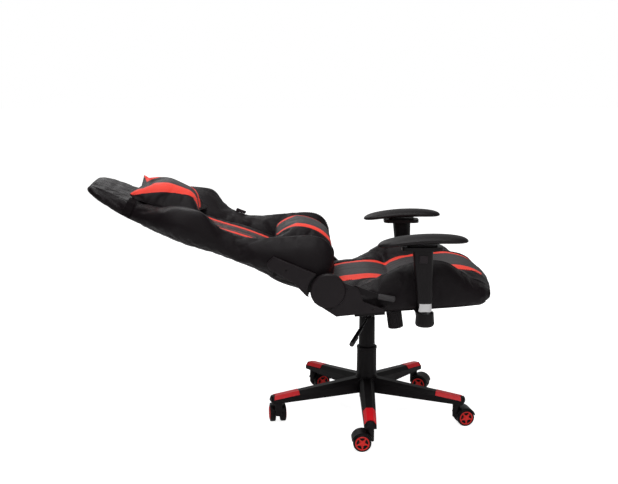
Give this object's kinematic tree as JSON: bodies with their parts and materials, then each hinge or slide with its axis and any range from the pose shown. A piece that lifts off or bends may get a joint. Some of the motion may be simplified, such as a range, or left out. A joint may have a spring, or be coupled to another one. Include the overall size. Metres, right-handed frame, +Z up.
{
  "type": "gaming chair",
  "caption": "Reclined gaming chair with a bucket seat, winged back, two pillows, height-adjustable arms, gas lift, tilt mechanism and a star base on twin-wheel casters.",
  "frame": {"origin": "on the floor, on the axis of the gas lift, with the casters standing on Z = 0", "axes": "+X towards the sitter's left, +Y towards the rear, where the backrest is laid back, +Z up"},
  "size_m": [0.686, 1.2984, 0.8339],
  "materials": {
    "base_plastic": "satin black moulded nylon",
    "red_plastic": "glossy deep red",
    "cover_plastic": "fine grained black",
    "arm_plastic": "smooth satin black",
    "arm_padding": "satin black polyurethane skin",
    "button_plastic": "satin dark grey",
    "black_steel": "black powder coat",
    "chrome_steel": "polished",
    "bare_steel": "zinc plated",
    "spring_steel": "oiled",
    "webbing": "woven elastic",
    "upholstery": "black synthetic leather over foam",
    "pillow_cover": "black and dark grey covers over foam",
    "strap": "black woven elastic",
    "wheel_plastic": "satin black nylon"
  },
  "bodies": {
    "base": {"base_star": "base_plastic", "leg_caps": "red_plastic", "gas_cylinder": "black_steel", "lift_covers": "cover_plastic"},
    "lift_rod": {"piston_rod": "bare_steel"},
    "mechanism": {"pressure_tube": "chrome_steel", "mechanism_housing": "black_steel"},
    "valve_pin": {"release_pin": "bare_steel"},
    "gas_lever": {"gas_lever": "black_steel"},
    "seat": {"seat_plate": "black_steel", "tilt_pin": "bare_steel", "tension_spring": "spring_steel", "seat_frame": "black_steel", "seat_webbing": "webbing", "seat_cushion": "upholstery", "seat_bolts": "bare_steel", "lower_brackets": "black_steel", "lower_cover_left": "cover_plastic", "lower_cover_right": "cover_plastic", "arm_brackets": "black_steel", "arm_posts": "chrome_steel", "arm_cups": "cover_plastic"},
    "tension_knob": {"tension_knob": "cover_plastic"},
    "back": {"back_frame": "black_steel", "back_cushion": "upholstery", "upper_brackets": "black_steel", "upper_cover_left": "cover_plastic", "upper_cover_right": "cover_plastic", "recline_shaft": "bare_steel", "head_pillow": "pillow_cover", "lumbar_pillow": "pillow_cover", "pillow_straps": "strap"},
    "recline_lever": {"recline_lever": "black_steel"},
    "arm_left": {"arm_sleeve_left": "arm_plastic", "arm_pad_left": "arm_padding"},
    "arm_right": {"arm_sleeve_right": "arm_plastic", "arm_pad_right": "arm_padding"},
    "button_left": {"arm_button_left": "button_plastic"},
    "button_right": {"arm_button_right": "button_plastic"},
    "caster_1": {"caster_1_hood": "wheel_plastic", "caster_1_stem_and_axle": "bare_steel"},
    "caster_1_wheel_a": {"caster_1_wheel_a": "wheel_plastic"},
    "caster_1_wheel_b": {"caster_1_wheel_b": "wheel_plastic"},
    "caster_2": {"caster_2_hood": "wheel_plastic", "caster_2_stem_and_axle": "bare_steel"},
    "caster_2_wheel_a": {"caster_2_wheel_a": "wheel_plastic"},
    "caster_2_wheel_b": {"caster_2_wheel_b": "wheel_plastic"},
    "caster_3": {"caster_3_hood": "wheel_plastic", "caster_3_stem_and_axle": "bare_steel"},
    "caster_3_wheel_a": {"caster_3_wheel_a": "wheel_plastic"},
    "caster_3_wheel_b": {"caster_3_wheel_b": "wheel_plastic"},
    "caster_4": {"caster_4_hood": "wheel_plastic", "caster_4_stem_and_axle": "bare_steel"},
    "caster_4_wheel_a": {"caster_4_wheel_a": "wheel_plastic"},
    "caster_4_wheel_b": {"caster_4_wheel_b": "wheel_plastic"},
    "caster_5": {"caster_5_hood": "wheel_plastic", "caster_5_stem_and_axle": "bare_steel"},
    "caster_5_wheel_a": {"caster_5_wheel_a": "wheel_plastic"},
    "caster_5_wheel_b": {"caster_5_wheel_b": "wheel_plastic"}
  },
  "joints": [
    {"name": "seat_swivel", "type": "hinge", "parent": "base", "child": "lift_rod", "pos_m": [0, 0, 0.1], "axis": [0, 0, 1], "continuous": true},
    {"name": "lift_slide", "type": "slide", "parent": "lift_rod", "child": "mechanism", "axis": [0, 0, 1], "range_m": [0, 0.09]},
    {"name": "gas_lever_lift", "type": "hinge", "parent": "mechanism", "child": "gas_lever", "pos_m": [-0.0365, 0.00862, 0.4068], "axis": [0.2132, 0.977, 0], "range_deg": [0, 6.5], "stiffness_Nm_per_rad": 1, "springref_deg": -11.46},
    {"name": "valve_pin_slide", "type": "slide", "parent": "mechanism", "child": "valve_pin", "axis": [0, 0, -1], "range_m": [0, 0.0048], "stiffness_N_per_m": 200, "springref_m": -0.01},
    {"name": "seat_tilt", "type": "hinge", "parent": "mechanism", "child": "seat", "pos_m": [0, -0.064, 0.402], "axis": [-1, 0, 0], "range_deg": [0, 12], "stiffness_Nm_per_rad": 120, "springref_deg": -57.3, "deforming": ["tension_spring"]},
    {"name": "tension_knob_turn", "type": "hinge", "parent": "seat", "child": "tension_knob", "pos_m": [0, -0.09, 0.368], "axis": [0, 0.1392, 0.9903], "range_deg": [-360, 360]},
    {"name": "back_recline", "type": "hinge", "parent": "seat", "child": "back", "pos_m": [0, 0.144, 0.507], "axis": [1, 0, 0], "range_deg": [0, 62]},
    {"name": "recline_lever_lift", "type": "hinge", "parent": "seat", "child": "recline_lever", "pos_m": [-0.2735, 0.144, 0.507], "axis": [-1, 0, 0], "range_deg": [0, 28], "stiffness_Nm_per_rad": 1.5, "springref_deg": -17.19},
    {"name": "arm_right_height", "type": "slide", "parent": "seat", "child": "arm_right", "axis": [0, 0, 1], "range_m": [-0.027, 0.045]},
    {"name": "arm_left_height", "type": "slide", "parent": "seat", "child": "arm_left", "axis": [0, 0, 1], "range_m": [-0.005, 0.067]},
    {"name": "button_right_press", "type": "slide", "parent": "arm_right", "child": "button_right", "axis": [1, 0, 0], "range_m": [0, 0.003], "stiffness_N_per_m": 400, "springref_m": -0.002},
    {"name": "button_left_press", "type": "slide", "parent": "arm_left", "child": "button_left", "axis": [-1, 0, 0], "range_m": [0, 0.003], "stiffness_N_per_m": 400, "springref_m": -0.002},
    {"name": "caster_1_swivel", "type": "hinge", "parent": "base", "child": "caster_1", "pos_m": [-0.31381, 0.01096, 0.07], "axis": [0, 0, 1], "continuous": true},
    {"name": "caster_1_roll_a", "type": "hinge", "parent": "caster_1", "child": "caster_1_wheel_a", "pos_m": [-0.31381, 0.03696, 0.029], "axis": [1, 0, 0], "continuous": true},
    {"name": "caster_1_roll_b", "type": "hinge", "parent": "caster_1", "child": "caster_1_wheel_b", "pos_m": [-0.31381, 0.03696, 0.029], "axis": [1, 0, 0], "continuous": true},
    {"name": "caster_2_swivel", "type": "hinge", "parent": "base", "child": "caster_2", "pos_m": [-0.10739, -0.29506, 0.07], "axis": [0, 0, 1], "continuous": true},
    {"name": "caster_2_roll_a", "type": "hinge", "parent": "caster_2", "child": "caster_2_wheel_a", "pos_m": [-0.10243, -0.32059, 0.029], "axis": [-0.9816, -0.1908, 0], "continuous": true},
    {"name": "caster_2_roll_b", "type": "hinge", "parent": "caster_2", "child": "caster_2_wheel_b", "pos_m": [-0.10243, -0.32059, 0.029], "axis": [-0.9816, -0.1908, 0], "continuous": true},
    {"name": "caster_3_swivel", "type": "hinge", "parent": "base", "child": "caster_3", "pos_m": [0.24743, -0.19332, 0.07], "axis": [0, 0, 1], "continuous": true},
    {"name": "caster_3_roll_a", "type": "hinge", "parent": "caster_3", "child": "caster_3_wheel_a", "pos_m": [0.23728, -0.21725, 0.029], "axis": [-0.9205, 0.3907, 0], "continuous": true},
    {"name": "caster_3_roll_b", "type": "hinge", "parent": "caster_3", "child": "caster_3_wheel_b", "pos_m": [0.23728, -0.21725, 0.029], "axis": [-0.9205, 0.3907, 0], "continuous": true},
    {"name": "caster_4_swivel", "type": "hinge", "parent": "base", "child": "caster_4", "pos_m": [0.26032, 0.17559, 0.07], "axis": [0, 0, 1], "continuous": true},
    {"name": "caster_4_roll_a", "type": "hinge", "parent": "caster_4", "child": "caster_4_wheel_a", "pos_m": [0.27089, 0.15183, 0.029], "axis": [-0.9135, -0.4067, 0], "continuous": true},
    {"name": "caster_4_roll_b", "type": "hinge", "parent": "caster_4", "child": "caster_4_wheel_b", "pos_m": [0.27089, 0.15183, 0.029], "axis": [-0.9135, -0.4067, 0], "continuous": true},
    {"name": "caster_5_swivel", "type": "hinge", "parent": "base", "child": "caster_5", "pos_m": [-0.08655, 0.30184, 0.07], "axis": [0, 0, 1], "continuous": true},
    {"name": "caster_5_roll_a", "type": "hinge", "parent": "caster_5", "child": "caster_5_wheel_a", "pos_m": [-0.06074, 0.30501, 0.029], "axis": [0.1219, -0.9925, 0], "continuous": true},
    {"name": "caster_5_roll_b", "type": "hinge", "parent": "caster_5", "child": "caster_5_wheel_b", "pos_m": [-0.06074, 0.30501, 0.029], "axis": [0.1219, -0.9925, 0], "continuous": true}
  ],
  "couplings": [
    {"joint": "valve_pin_slide", "follows": "gas_lever_lift", "m_per_rad": 0.0405}
  ]
}
